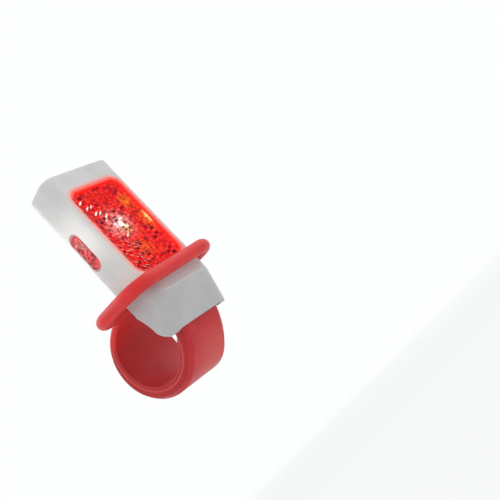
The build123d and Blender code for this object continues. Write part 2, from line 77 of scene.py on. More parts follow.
# The lens's field of prisms
prism_pitch = 2.0 * MM
prism_flatness = 0.40
prism_seam = 0.11 * MM
prism_depth = 0.22 * MM
prism_columns = 27
prism_rows = 23
field_width = window_width - 1.9 * MM
field_height = window_height - 1.9 * MM

# Its facets' painted light, dark at nought and bright at one, and the sizes and places that settle it
brightest = 0.93
strip_lights = (0.05, 0.25, 0.5, 0.85)
left_lights = (0.05, 0.22, 0.42, 0.55, 0.64, 0.72, 0.82, 0.93)
narrow_strip = 0.3 * MM * MM
large_facet = 0.6 * MM * MM
smallest_varied = 0.12 * MM * MM
lower_part = 28.0 * MM
bright_top = 44.8 * MM
bright_side = 8.3 * MM

# Roundings and walls that the scene adds, and the strap's mesh size
window_rounding = 0.28 * MM
lens_clearance = 0.1 * MM
lens_wall = 0.75 * MM
lens_well = 1.5 * MM
lens_rounding = 0.16 * MM
key_rounding = 0.3 * MM
crease_rounding = 0.55 * MM
strap_voxel = 0.32 * MM

# Directions on the front, as shares of X and Z: along and across the glints, and likewise for
# the rows of dashes
glint_along = (0.79, 0.61)
glint_across = (-0.61, 0.79)
row_along = (0.755, -0.656)
row_across = (0.656, 0.755)


# Modelling helpers

def deselect():
    """Leaves nothing selected and no object in edit mode."""
    if bpy.context.mode != "OBJECT":
        bpy.ops.object.mode_set(mode="OBJECT")
    bpy.ops.object.select_all(action="DESELECT")


def activate(piece):
    """Selects this piece alone."""
    deselect()
    piece.select_set(True)
    bpy.context.view_layer.objects.active = piece


def apply_modifier(piece, kind, **settings):
    """Adds one modifier with these settings and applies it."""
    activate(piece)
    modifier = piece.modifiers.new(kind.lower(), kind)
    for key, value in settings.items():
        setattr(modifier, key, value)
    bpy.ops.object.modifier_apply(modifier=modifier.name)


def apply_place(piece):
    """Moves the object's place, turn and size into its mesh."""
    activate(piece)
    bpy.ops.object.transform_apply(location=True, rotation=True, scale=True)


def select_faces(piece, wanted):
    """In edit mode, selects the faces that wanted(face) accepts."""
    activate(piece)
    bpy.ops.object.mode_set(mode="EDIT")
    bpy.ops.mesh.select_mode(type="FACE")
    bpy.ops.mesh.select_all(action="DESELECT")
    bpy.ops.object.mode_set(mode="OBJECT")
    for face in piece.data.polygons:
        face.select = wanted(face)
    bpy.ops.object.mode_set(mode="EDIT")


def select_edges(piece, wanted, angle):
    """In edit mode, selects the sharp edges whose two ends wanted(first, second) accepts."""
    activate(piece)
    bpy.ops.object.mode_set(mode="EDIT")
    bpy.ops.mesh.select_mode(type="EDGE")
    bpy.ops.mesh.select_all(action="SELECT")
    bpy.ops.mesh.edges_select_sharp(sharpness=math.radians(angle))
    bpy.ops.object.mode_set(mode="OBJECT")
    mesh = piece.data
    sharp = [edge.index for edge in mesh.edges if edge.select]
    bpy.ops.object.mode_set(mode="EDIT")
    bpy.ops.mesh.select_all(action="DESELECT")
    bpy.ops.object.mode_set(mode="OBJECT")
    for index in sharp:
        edge = mesh.edges[index]
        first = mesh.vertices[edge.vertices[0]].co
        second = mesh.vertices[edge.vertices[1]].co
        if wanted(first, second):
            edge.select = True
    bpy.ops.object.mode_set(mode="EDIT")


def round_edges(piece, wanted, width, steps, angle=30):
    """Rounds the sharp edges whose two ends wanted(first, second) accepts."""
    select_edges(piece, wanted, angle)
    bpy.ops.mesh.bevel(
        offset=width, offset_type="OFFSET", segments=steps, profile=0.5, clamp_overlap=False
    )
    bpy.ops.object.mode_set(mode="OBJECT")


def own_copy(node, name):
    """A merged copy of a CAD node's mesh, as a new piece that stands for the node."""
    mesh = nodes[node].data.copy()
    piece = bpy.data.objects.new(name, mesh)
    bpy.context.scene.collection.objects.link(piece)
    mesh.materials.clear()
    activate(piece)
    bpy.ops.object.mode_set(mode="EDIT")
    bpy.ops.mesh.select_all(action="SELECT")
    bpy.ops.mesh.remove_doubles(threshold=0.002 * MM)
    bpy.ops.mesh.dissolve_limited(angle_limit=math.radians(0.5))
    bpy.ops.object.mode_set(mode="OBJECT")
    return piece


def smooth(piece, angle):
    """Shades a piece smooth, with an edge kept where its faces turn by more than the angle."""
    activate(piece)
    bpy.ops.object.shade_smooth_by_angle(angle=math.radians(angle))


def even_shading(piece):
    """Keeps wide flat faces flat in shade where a narrow rounded edge meets them."""
    apply_modifier(piece, "WEIGHTED_NORMAL", weight=90, keep_sharp=True)


def settle(piece, material, body, slot, *replaced):
    """Gives a finished piece its material and body, and hides the CAD nodes that it stands for. The slot
    is not used.
    """
    piece.data.materials.append(material)
    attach(piece, body)
    if replaced:
        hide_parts(*replaced)


# Material helpers

def new_material(name, color, roughness):
    """A material, its node tree and its main shader."""
    material = bpy.data.materials.new(name)
    material.use_nodes = True
    tree = material.node_tree
    shader = tree.nodes["Principled BSDF"]
    shader.inputs["Base Color"].default_value = (*color, 1)
    shader.inputs["Roughness"].default_value = roughness
    return material, tree, shader


def feed(tree, socket, value):
    """Sets a socket to a number or a colour, or links another socket to it."""
    if isinstance(value, (int, float)):
        socket.default_value = value
    elif isinstance(value, tuple):
        socket.default_value = (*value, 1)
    else:
        tree.links.new(value, socket)


def object_point(tree):
    """The point on the piece, in metres."""
    return tree.nodes.new("ShaderNodeTexCoord").outputs["Object"]


def axes(tree):
    """The X, Y and Z of the point on the piece, in metres."""
    parts = tree.nodes.new("ShaderNodeSeparateXYZ")
    tree.links.new(object_point(tree), parts.inputs["Vector"])
    return parts.outputs


def noise(tree, scale, detail=2.0):
    """Fine or broad random pattern on the piece."""
    node = tree.nodes.new("ShaderNodeTexNoise")
    node.inputs["Scale"].default_value = scale
    node.inputs["Detail"].default_value = detail
    tree.links.new(object_point(tree), node.inputs["Vector"])
    return node.outputs["Fac"]


def calc(tree, operation, first, second=0.0):
    """One sum on two numbers or sockets."""
    node = tree.nodes.new("ShaderNodeMath")
    node.operation = operation
    feed(tree, node.inputs[0], first)
    feed(tree, node.inputs[1], second)
    return node.outputs[0]


def distance(tree, first, second):
    """How far two offsets at right angles to each other lead together."""
    squares = [calc(tree, "MULTIPLY", offset, offset) for offset in (first, second)]
    return calc(tree, "SQRT", calc(tree, "ADD", *squares))


def fade(tree, value, start, end, low=0.0, high=1.0):
    """Turns a number that runs from start to end into one from low to high, smoothly."""
    node = tree.nodes.new("ShaderNodeMapRange")
    node.interpolation_type = "SMOOTHSTEP"
    for key, number in (("From Min", start), ("From Max", end), ("To Min", low), ("To Max", high)):
        node.inputs[key].default_value = number
    tree.links.new(value, node.inputs["Value"])
    return node.outputs["Result"]


def mix_color(tree, share, first, second):
    """Mixes this share of the second colour into the first, each a tuple or a socket."""
    node = tree.nodes.new("ShaderNodeMix")
    node.data_type = "RGBA"
    feed(tree, node.inputs["Factor"], share)
    feed(tree, node.inputs[6], first)
    feed(tree, node.inputs[7], second)
    return node.outputs[2]


def clouds(tree, scale, detail=3.0):
    """Soft clouds of fine or broad scale, from nought to one."""
    return fade(tree, noise(tree, scale, detail), 0.3, 0.7)


def bump(tree, shader, height, strength, depth):
    """Raises the surface by a pattern, depth metres high at most."""
    node = tree.nodes.new("ShaderNodeBump")
    node.inputs["Strength"].default_value = strength
    node.inputs["Distance"].default_value = depth
    tree.links.new(height, node.inputs["Height"])
    tree.links.new(node.outputs["Normal"], shader.inputs["Normal"])


# Paler edges that stand partly for rubbed wear and partly for a painted edge highlight
def wear_and_highlight_edges(tree, radius, share):
    """Nought on flat faces, rising to this share within radius metres of an edge."""
    rounded = tree.nodes.new("ShaderNodeBevel")
    rounded.samples = 6
    rounded.inputs["Radius"].default_value = radius
    plain_normal = tree.nodes.new("ShaderNodeNewGeometry").outputs["Normal"]
    turn = tree.nodes.new("ShaderNodeVectorMath")
    turn.operation = "DOT_PRODUCT"
    tree.links.new(rounded.outputs["Normal"], turn.inputs[0])
    tree.links.new(plain_normal, turn.inputs[1])
    return fade(tree, turn.outputs["Value"], 0.90, 0.99, share, 0.0)


def set_color(tree, shader, color):
    """Gives the main shader a colour."""
    feed(tree, shader.inputs["Base Color"], color)


def set_roughness(tree, shader, pattern, low, high):
    """Varies the gloss with a pattern."""
    tree.links.new(fade(tree, pattern, 0.3, 0.7, low, high), shader.inputs["Roughness"])


def set_glow(tree, shader, color, strength):
    """Makes the surface give light."""
    feed(tree, shader.inputs["Emission Color"], color)
    feed(tree, shader.inputs["Emission Strength"], strength)


def set_depth(shader, weight, reach, scale):
    """Lets light spread under the surface, with the reach of red, green and blue."""
    shader.inputs["Subsurface Weight"].default_value = weight
    shader.inputs["Subsurface Radius"].default_value = reach
    shader.inputs["Subsurface Scale"].default_value = scale


def moulded(name, color, roughness, tone=0.06, grain=9000, depth=0.004 * MM):
    """Moulded plastic or rubber: slight cloudy colour, fine grain and uneven gloss."""
    material, tree, shader = new_material(name, color, roughness)
    darker = tuple(channel * (1 - 2 * tone) for channel in color)
    lighter = tuple(min(1, channel * (1 + tone)) for channel in color)
    set_color(tree, shader, mix_color(tree, clouds(tree, 180), darker, lighter))
    set_roughness(tree, shader, noise(tree, 700, 3), roughness - 0.05, roughness + 0.07)
    bump(tree, shader, noise(tree, grain, 2), 0.5, depth)
    return material, tree, shader


def metal(name, color, roughness):
    """Worked metal with fine drawn lines and worn gloss."""
    material, tree, shader = new_material(name, color, roughness)
    shader.inputs["Metallic"].default_value = 1.0
    stretch = tree.nodes.new("ShaderNodeMapping")
    stretch.inputs["Scale"].default_value = (1, 1, 14)
    tree.links.new(object_point(tree), stretch.inputs["Vector"])
    lines = tree.nodes.new("ShaderNodeTexNoise")
    lines.inputs["Scale"].default_value = 900
    tree.links.new(stretch.outputs["Vector"], lines.inputs["Vector"])
    worn = tuple(channel * 0.82 for channel in color)
    set_color(tree, shader, mix_color(tree, fade(tree, noise(tree, 400), 0.35, 0.7), color, worn))
    set_roughness(tree, shader, lines.outputs["Fac"], roughness - 0.06, roughness + 0.1)
    bump(tree, shader, lines.outputs["Fac"], 0.4, 0.004 * MM)
    return material


# Places on the light, for its materials

def offsets_from(tree, center_x, center_z):
    """How far the point is along X and Z from a place on the front."""
    place = axes(tree)
    return calc(tree, "SUBTRACT", place["X"], center_x), calc(tree, "SUBTRACT", place["Z"], center_z)


def spread_from(tree, center_x, center_z, tall=1.0):
    """Distance on the front from a place, in metres; heights count less by the factor tall."""
    across, along = offsets_from(tree, center_x, center_z)
    return distance(tree, across, calc(tree, "DIVIDE", along, tall))


def from_outline(tree, sides, centers, halves, corner):
    """Distance outside a rounded oblong on two axes, in metres, below nought inside it."""
    place = axes(tree)
    beyond = []
    for side, center, half in zip(sides, centers, halves):
        offset = calc(tree, "ABSOLUTE", calc(tree, "SUBTRACT", place[side], center))
        beyond.append(calc(tree, "SUBTRACT", offset, half - corner))
    outside = [calc(tree, "MAXIMUM", part, 0.0) for part in beyond]
    inside = calc(tree, "MINIMUM", calc(tree, "MAXIMUM", *beyond), 0.0)
    return calc(tree, "SUBTRACT", calc(tree, "ADD", distance(tree, *outside), inside), corner)


def from_window(tree):
    """Distance outside the window in the cover's front."""
    halves = (window_width / 2, window_height / 2)
    return from_outline(tree, "XZ", (0.0, window_level), halves, window_corner)


def from_key(tree):
    """Distance outside the key in the cover's side."""
    return from_outline(tree, "YZ", key_center, key_halves, key_halves[0])


def along_slant(tree, across, along, slant, unit):
    """How far two offsets on the front lead in a slanting direction, counted in this unit."""
    parts = [calc(tree, "MULTIPLY", offset, lean / unit) for offset, lean in zip((across, along), slant)]
    return calc(tree, "ADD", *parts)


def streak(tree, center_x, center_z, half_length, half_width, share):
    """A soft slanted streak on the front, of this share at its middle."""
    offsets = offsets_from(tree, center_x, center_z)
    squares = []
    for slant, half in ((glint_along, half_length), (glint_across, half_width)):
        reach = along_slant(tree, *offsets, slant, half)
        squares.append(calc(tree, "MULTIPLY", reach, reach))
    return fade(tree, calc(tree, "ADD", *squares), 0.35, 1.0, share, 0.0)


def dashes(tree, share):
    """Short bright lines in slanting rows, about half of them lit, where prism edges catch the bulb."""
    row_gap = 1.15 * MM
    dash_gap = 1.80 * MM
    row_shift = 0.37
    place = axes(tree)
    rows = along_slant(tree, place["X"], place["Z"], row_across, row_gap)
    row = calc(tree, "FLOOR", rows)
    in_row = along_slant(tree, place["X"], place["Z"], row_along, dash_gap)
    in_row = calc(tree, "ADD", in_row, calc(tree, "MULTIPLY", row, row_shift))
    off_row = calc(tree, "ABSOLUTE", calc(tree, "SUBTRACT", calc(tree, "FRACT", rows), 0.5))
    off_middle = calc(tree, "ABSOLUTE", calc(tree, "SUBTRACT", calc(tree, "FRACT", in_row), 0.5))
    spot = tree.nodes.new("ShaderNodeCombineXYZ")
    tree.links.new(row, spot.inputs["X"])
    tree.links.new(calc(tree, "FLOOR", in_row), spot.inputs["Y"])
    chance = tree.nodes.new("ShaderNodeTexWhiteNoise")
    tree.links.new(spot.outputs["Vector"], chance.inputs["Vector"])
    thin = fade(tree, off_row, 0.04, 0.13, 1.0, 0.0)
    short = fade(tree, off_middle, 0.27, 0.37, 1.0, 0.0)
    lit_ones = fade(tree, chance.outputs["Value"], 0.40, 0.55, 0.0, share)
    return calc(tree, "MULTIPLY", calc(tree, "MULTIPLY", thin, short), lit_ones)


# Materials

def frosted_polycarbonate():
    """The cover: cloudy frosted grey, paler edges from wear and painted highlight, a painted red glow
    round the window, and painted light from the upper bulb inside.
    """
    material, tree, shader = new_material("frosted_polycarbonate", (0.72, 0.72, 0.71), 0.42)
    grey = (0.62, 0.63, 0.625)
    pale_grey = (0.72, 0.72, 0.70)
    rubbed_and_lit_grey = (0.80, 0.80, 0.79)
    window_glow_red = (0.88, 0.26, 0.23)
    slot_red = (0.62, 0.10, 0.10)
    warm_white = (1.0, 0.93, 0.88)
    glow_red = (1.0, 0.28, 0.22)
    place = axes(tree)
    # Painted glow of the lit lens round the window: a red tint in the colour and red light given out
    near_window = fade(tree, from_window(tree), 0.0, 2.6 * MM, 1.0, 0.0)
    near_front = fade(tree, place["Y"], cover_front, cover_front + 3.0 * MM, 1.0, 0.0)
    rim = calc(tree, "MULTIPLY", calc(tree, "POWER", near_window, 2.6), near_front)
    slot_wall = fade(tree, place["X"], -12.4 * MM, -12.0 * MM, 1.0, 0.0)
    near_key = fade(tree, from_key(tree), 0.10 * MM, 0.40 * MM, 0.75, 0.0)
    slot_line = calc(tree, "MULTIPLY", near_key, slot_wall)
    color = mix_color(tree, clouds(tree, 90), grey, pale_grey)
    # Paler edges: partly wear, partly painted edge highlight
    color = mix_color(tree, wear_and_highlight_edges(tree, 0.35 * MM, 0.35), color, rubbed_and_lit_grey)
    color = mix_color(tree, rim, color, window_glow_red)
    set_color(tree, shader, mix_color(tree, slot_line, color, slot_red))
    # Painted light from the bulbs inside, mostly on the left wall
    side_light = fade(tree, place["X"], -13.6 * MM, 2.0 * MM, 0.09, 0.0)
    left_wall = fade(tree, place["X"], -13.7 * MM, -11.0 * MM, 1.0, 0.0)
    bulb_light = fade(tree, spread_from(tree, -12.0 * MM, 34.0 * MM), 0.0, 13.0 * MM, 0.27, 0.0)
    bulb_light = calc(tree, "MULTIPLY", bulb_light, left_wall)
    light = calc(tree, "ADD", calc(tree, "MULTIPLY", rim, 0.16), calc(tree, "ADD", bulb_light, side_light))
    light = calc(tree, "MULTIPLY", light, calc(tree, "SUBTRACT", 1.0, slot_line))
    set_glow(tree, shader, mix_color(tree, rim, warm_white, glow_red), light)
    set_depth(shader, 0.35, (1.0, 0.8, 0.72), 1.5 * MM)
    set_roughness(tree, shader, noise(tree, 900, 3), 0.36, 0.5)
    bump(tree, shader, noise(tree, 12000, 2), 0.35, 0.004 * MM)
    return material


def clear_red_lens():
    """The lens's rim: deep red, with a painted glow from the bulbs, paler towards the window's edge and
    brightest at the top and far side.
    """
    material, tree, shader = new_material("clear_red_lens", (0.60, 0.01, 0.01), 0.25)
    shader.inputs["Specular IOR Level"].default_value = 0.15
    dark_red = (0.26, 0.002, 0.006)
    fleck_red = (0.42, 0.008, 0.008)
    lit_red = (1.0, 0.04, 0.028)
    lit_pink = (1.0, 0.28, 0.23)
    place = axes(tree)
    # Painted glow: the rim gives out red light, more at the top and far side, and pinker towards the
    # window's edge
    far_side = fade(tree, place["X"], 6.0 * MM, 9.0 * MM)
    far_top = fade(tree, place["Z"], 43.0 * MM, 45.6 * MM)
    far_rim = calc(tree, "MAXIMUM", far_side, far_top)
    outwards = fade(tree, from_window(tree), -0.85 * MM, 0.0)
    pale_glow = calc(tree, "MULTIPLY", outwards, fade(tree, far_rim, 0, 1, 0.5, 1.0))
    flecks = fade(tree, noise(tree, 750, 2), 0.40, 0.62)
    set_color(tree, shader, mix_color(tree, flecks, dark_red, fleck_red))
    near_light = fade(tree, flecks, 0, 1, 0.20, 0.62)
    lift = calc(tree, "MULTIPLY", far_rim, calc(tree, "SUBTRACT", 0.74, near_light))
    rim_color = mix_color(tree, pale_glow, lit_red, lit_pink)
    set_glow(tree, shader, rim_color, calc(tree, "ADD", near_light, lift))
    return material


# Soft lit spots in the prisms: X and Z of the middle in mm, height to width, radius of the full
# colour and of the last of it in mm, share, and colour
lit_spots = (
    ((-2.4, 31.4), 1.0, 0.5, 7.4, 0.86, (1.0, 0.43, 0.40)),
    ((-1.4, 21.1), 1.0, 0.1, 4.6, 0.80, (1.0, 0.13, 0.01)),
    ((6.4, 37.4), 1.4, 0.2, 3.0, 0.90, (1.0, 0.22, 0.01)),
    ((7.8, 29.0), 1.6, 0.4, 3.6, 0.75, (1.0, 0.14, 0.01)),
    ((-1.4, 29.3), 1.0, 0.3, 2.6, 1.00, (1.0, 0.66, 0.18)),
    ((8.9, 29.8), 3.0, 0.2, 1.1, 1.00, (1.0, 0.74, 0.22)),
)

# Slanting glints on the left of the prisms: X and Z of the middle in mm, half length in mm, and share
glints = (
    ((-8.3, 42.2), 1.1, 1.0),
    ((-7.9, 39.6), 1.1, 1.0),
    ((-6.0, 39.9), 1.0, 0.75),
    ((-6.5, 37.2), 1.2, 1.0),
    ((-4.9, 37.0), 1.1, 0.9),
    ((-4.0, 35.2), 1.2, 1.0),
    ((-3.0, 26.9), 1.0, 0.9),
    ((-5.2, 33.9), 0.9, 0.6),
)
glint_half_width = 0.34 * MM


def lit_prisms():
    """The prisms' painted light: lit and shaded facets, warm spots by the bulbs, a white core, dashes and
    glints.
    """
    material, tree, shader = new_material("lit_prisms", (0.8, 0.02, 0.02), 0.35)
    shader.inputs["Specular IOR Level"].default_value = 0.1
    shaded_facet_red = (0.22, 0.0, 0.012)
    plain_red = (0.86, 0.006, 0.005)
    lit_facet_red = (1.0, 0.034, 0.020)
    bulb_white = (1.0, 0.97, 0.90)
    dash_pink = (1.0, 0.52, 0.46)
    glint_white = (1.0, 0.92, 0.84)
    unlit = (0.0, 0.0, 0.0)
    light_node = tree.nodes.new("ShaderNodeAttribute")
    light_node.attribute_name = "facet_light"
    tone = light_node.outputs["Fac"]
    # Painted shade and painted reflection: each facet's red, from dark to bright
    color = mix_color(tree, fade(tree, tone, 0.05, 0.5), shaded_facet_red, plain_red)
    color = mix_color(tree, fade(tree, tone, 0.55, 0.9), color, lit_facet_red)
    for (spot_x, spot_z), tall, core, reach, share, spot_color in lit_spots:
        spread = spread_from(tree, spot_x * MM, spot_z * MM, tall)
        near = fade(tree, spread, core * MM, reach * MM, share, 0.0)
        near = calc(tree, "MULTIPLY", near, fade(tree, tone, 0.12, 0.66, 0.06, 1.0))
        color = mix_color(tree, near, color, spot_color)
    from_bulb = spread_from(tree, *upper_bulb)
    bulb_core = fade(tree, from_bulb, 0.2 * MM, 1.5 * MM, 1.0, 0.0)
    bulb_halo = fade(tree, from_bulb, 0.9 * MM, 3.4 * MM, 1.0, 0.0)
    bulb_halo = calc(tree, "MULTIPLY", bulb_halo, fade(tree, tone, 0.35, 0.8))
    hot = calc(tree, "MAXIMUM", bulb_core, bulb_halo)
    color = mix_color(tree, hot, color, bulb_white)
    low_left = fade(tree, spread_from(tree, -6.0 * MM, 22.5 * MM, 1.9), 2.4 * MM, 5.4 * MM, 1.0, 0.0)
    dash_share = calc(tree, "MULTIPLY", dashes(tree, 0.85), low_left)
    color = mix_color(tree, dash_share, color, dash_pink)
    for (glint_x, glint_z), half_length, share in glints:
        shine = streak(tree, glint_x * MM, glint_z * MM, half_length * MM, glint_half_width, share)
        color = mix_color(tree, shine, color, glint_white)
    # The colour is painted light: it is given out as glow, over a dark base colour
    set_color(tree, shader, mix_color(tree, 0.86, color, unlit))
    set_glow(tree, shader, color, calc(tree, "ADD", 0.90, calc(tree, "MULTIPLY", hot, 0.6)))
    return material


def red_silicone():
    """The strap: painted light on the loop and lower right, painted shade on band edges, a moulding line
    painted bright.
    """
    material, tree, shader = new_material("red_silicone", (0.66, 0.026, 0.030), 0.5)
    band_reds = ((0.60, 0.021, 0.026), (0.68, 0.030, 0.032))
    lit_loop_reds = ((0.80, 0.026, 0.028), (0.88, 0.036, 0.034))
    lit_low_red = (0.80, 0.10, 0.085)
    shaded_edge_red = (0.40, 0.012, 0.016)
    line_highlight_red = (0.86, 0.10, 0.09)
    place = axes(tree)
    # Painted light: the loop, which faces the lamps, is coloured brighter than the band
    lit_loop = fade(tree, place["Z"], 6.0 * MM, 11.0 * MM)
    cloud = clouds(tree, 120)
    band_red = mix_color(tree, cloud, *band_reds)
    lit_loop_red = mix_color(tree, cloud, *lit_loop_reds)
    color = mix_color(tree, lit_loop, band_red, lit_loop_red)
    # Painted light: the band's lower right is coloured paler
    low = fade(tree, place["Z"], -4.0 * MM, -13.0 * MM)
    lit_low_right = calc(tree, "MULTIPLY", low, fade(tree, place["X"], -10.0 * MM, 2.0 * MM))
    color = mix_color(tree, calc(tree, "MULTIPLY", lit_low_right, 0.6), color, lit_low_red)
    half_here = calc(tree, "ADD", band_half, calc(tree, "MULTIPLY", place["Y"], band_flare))
    in_from_edge = calc(tree, "SUBTRACT", half_here, calc(tree, "ABSOLUTE", place["X"]))
    # Painted shade: the band's edge faces are coloured darker
    near_edge = fade(tree, in_from_edge, 0.3 * MM, 0.9 * MM, 1.0, 0.0)
    edge_face = calc(tree, "MULTIPLY", near_edge, fade(tree, lit_loop, 0.0, 0.6, 1.0, 0.0))
    color = mix_color(tree, calc(tree, "MULTIPLY", edge_face, 0.5), color, shaded_edge_red)
    # The moulding line is a real ridge, raised by the bump; its paler colour is a painted highlight
    from_axis = distance(tree, place["Y"], place["Z"])
    off_line = calc(tree, "ABSOLUTE", calc(tree, "SUBTRACT", from_axis, parting_radius))
    parting_line = fade(tree, off_line, 0.08 * MM, 0.30 * MM, 1.0, 0.0)
    parting_line = calc(tree, "MULTIPLY", parting_line, edge_face)
    color = mix_color(tree, calc(tree, "MULTIPLY", parting_line, 0.75), color, line_highlight_red)
    set_color(tree, shader, color)
    shader.inputs["Specular IOR Level"].default_value = 0.38
    shader.inputs["Sheen Weight"].default_value = 0.12
    shader.inputs["Sheen Roughness"].default_value = 0.45
    shader.inputs["Sheen Tint"].default_value = (1.0, 0.72, 0.68, 1)
    set_depth(shader, 0.15, (1.0, 0.2, 0.15), 1.0 * MM)
    set_roughness(tree, shader, noise(tree, 1500, 4), 0.40, 0.58)
    grain = calc(tree, "MULTIPLY", noise(tree, 7000, 3), 0.05)
    bump(tree, shader, calc(tree, "ADD", grain, parting_line), 0.6, 0.08 * MM)
    return material


def pale_grey_polycarbonate():
    """The foot: opaque pale grey, paler on its edges from wear and painted highlight, with a little
    painted light under the cover.
    """
    material, tree, shader = moulded("pale_grey_polycarbonate", (0.57, 0.57, 0.565), 0.42, 0.025)
    rubbed_and_lit_grey = (0.92, 0.92, 0.91)
    warm_white = (1.0, 0.84, 0.84)
    grey = shader.inputs["Base Color"].links[0].from_socket
    # Paler edges: partly wear, partly painted edge highlight
    set_color(tree, shader, mix_color(tree, wear_and_highlight_edges(tree, 0.45 * MM, 0.5), grey, rubbed_and_lit_grey))
    # Painted light from the bulbs on the foot's upper front
    place = axes(tree)
    near_cover = fade(tree, place["Z"], 5.0 * MM, 10.5 * MM, 0.0, 0.11)
    on_front = fade(tree, place["X"], -12.5 * MM, -7.0 * MM)
    set_glow(tree, shader, warm_white, calc(tree, "MULTIPLY", near_cover, on_front))
    set_depth(shader, 0.12, (1.0, 0.9, 0.85), 0.8 * MM)
    return material


def key_red():
    """The key: flecked red, with painted highlight at its two ends, painted shade along its outline, and
    painted glow.
    """
    material, tree, shader = new_material("key_red", (0.62, 0.03, 0.04), 0.3)
    shader.inputs["Specular IOR Level"].default_value = 0.35
    key_middle = 30.6 * MM
    dark_red = (0.30, 0.010, 0.020)
    fleck_red = (0.84, 0.12, 0.125)
    lit_end_red = (0.80, 0.12, 0.13)
    shaded_outline_red = (0.36, 0.012, 0.020)
    lit_red = (1.0, 0.12, 0.10)
    from_middle = calc(tree, "ABSOLUTE", calc(tree, "SUBTRACT", axes(tree)["Z"], key_middle))
    # Painted highlight: the two ends are coloured paler
    ends = fade(tree, from_middle, 2.2 * MM, 5.2 * MM)
    flecks = fade(tree, noise(tree, 900, 3), 0.42, 0.62)
    # Painted shade along the outline, where the key meets its slot
    outline = fade(tree, from_key(tree), -0.36 * MM, -0.08 * MM)
    color = mix_color(tree, flecks, dark_red, fleck_red)
    color = mix_color(tree, calc(tree, "MULTIPLY", ends, 0.7), color, lit_end_red)
    set_color(tree, shader, mix_color(tree, outline, color, shaded_outline_red))
    # Painted glow: the key gives out red light, more at its ends and flecks
    light = calc(tree, "ADD", fade(tree, ends, 0, 1, 0.10, 0.24), calc(tree, "MULTIPLY", flecks, 0.20))
    light = calc(tree, "MULTIPLY", light, fade(tree, outline, 0, 1, 1.0, 0.3))
    set_glow(tree, shader, lit_red, light)
    return material


def board_lacquer():
    """The circuit board: green lacquer with a glossy coat."""
    material, _, shader = moulded("board_lacquer", (0.02, 0.13, 0.055), 0.28, 0.12, 3000)
    shader.inputs["Coat Weight"].default_value = 0.5
    return material


def clear_resin():
    """The light sources: clear resin that glows warm."""
    material, tree, shader = moulded("clear_resin", (0.92, 0.84, 0.78), 0.15, 0.03)
    set_glow(tree, shader, (1.0, 0.55, 0.42), 1.5)
    return material


rubber = moulded("dark_rubber", (0.035, 0.035, 0.038), 0.7, 0.1, 4000, 0.01 * MM)[0]
black = moulded("black_moulding", (0.03, 0.03, 0.033), 0.5, 0.1)[0]
white = moulded("white_moulding", (0.78, 0.78, 0.76), 0.4, 0.03)[0]
ceramic = moulded("tan_ceramic", (0.46, 0.33, 0.16), 0.35, 0.08)[0]
steel = metal("screw_steel", (0.56, 0.56, 0.57), 0.32)
can = metal("nickel_can", (0.66, 0.66, 0.64), 0.22)
spring = metal("spring_sheet", (0.62, 0.58, 0.50), 0.3)
board = board_lacquer()
resin = clear_resin()
node_materials = {
    "lens_seal": rubber,
    "key_pad": rubber,
    "saddle_pad": rubber,
    "cover_seal": rubber,
    "strap_pin": steel,
    "battery_carrier": black,
    "coin_cell": can,
    "contact_positive": spring,
    "contact_negative": spring,
    "circuit_board": board,
    "led_upper": resin,
    "led_lower": resin,
    "led_resistors": black,
    "control_chip": black,
    "chip_capacitor": ceramic,
    "switch_body": black,
    "switch_plunger": white,
    "carrier_screws": steel,
    "board_screws": steel,
}
for node, material in node_materials.items():
    mesh = nodes[node].data
    mesh.materials.clear()
    mesh.materials.append(material)


# Pieces

def add_cover():
    """The frosted shell, with the window's edge rounded."""
    cover = own_copy("frosted_cover", "frosted_cover_shell")

    def window_edge(first, second):
        in_front = max(first.y, second.y) < cover_front + 0.05 * MM
        return in_front and min(first.z, second.z) > below_window and max(first.z, second.z) < above_window

    round_edges(cover, window_edge, window_rounding, 3)
    smooth(cover, 32)
    even_shading(cover)
    settle(cover, frosted_polycarbonate(), "cover", "frosted_plastic", "frosted_cover")


def prism_cell():
    """Three facets that meet in a point, a cube's corner made flatter, and the step to the next."""
    deselect()
    edge = prism_pitch / math.sqrt(2)
    bpy.ops.mesh.primitive_cube_add(size=edge, location=(0, 0, 0))
    cell = bpy.context.object
    cell.rotation_mode = "QUATERNION"
    to_front = Vector((1, 1, 1)).rotation_difference(Vector((0, -1, 0)))
    step = to_front @ Vector((edge, -edge, 0))
    cell.rotation_quaternion = to_front
    apply_place(cell)
    select_faces(cell, lambda face: face.normal.y > 0)
    bpy.ops.mesh.delete(type="FACE")
    bpy.ops.object.mode_set(mode="OBJECT")
    cell.scale = (1, prism_flatness, 1)
    apply_place(cell)
    bpy.ops.object.mode_set(mode="EDIT")
    bpy.ops.mesh.select_all(action="SELECT")
    bpy.ops.mesh.inset(thickness=prism_seam, use_individual=True)
    bpy.ops.object.mode_set(mode="OBJECT")
    return cell, step


def prism_field():
    """The cell in columns and rows, with the columns upright, centred on the window."""
    field, column_step = prism_cell()
    field.name = "prism_sheet"
    row_step = Matrix.Rotation(math.radians(60), 3, "Y") @ column_step
    turn = math.atan2(column_step.z, column_step.x) - math.pi / 2
    upright = Matrix.Rotation(turn, 4, "Y")
    field.data.transform(upright)
    column_step = upright.to_3x3() @ column_step
    row_step = upright.to_3x3() @ row_step
    for count, step in ((prism_columns, column_step), (prism_rows, row_step)):
        apply_modifier(
            field, "ARRAY", count=count, use_relative_offset=False, use_constant_offset=True,
            constant_offset_displace=step,
        )
    middle = (column_step * (prism_columns - 1) + row_step * (prism_rows - 1)) / 2
    apex = min(vertex.co.y for vertex in field.data.vertices)
    field.location = (-middle.x, lens_face + prism_depth - apex, window_level - middle.z)
    apply_place(field)
    return field


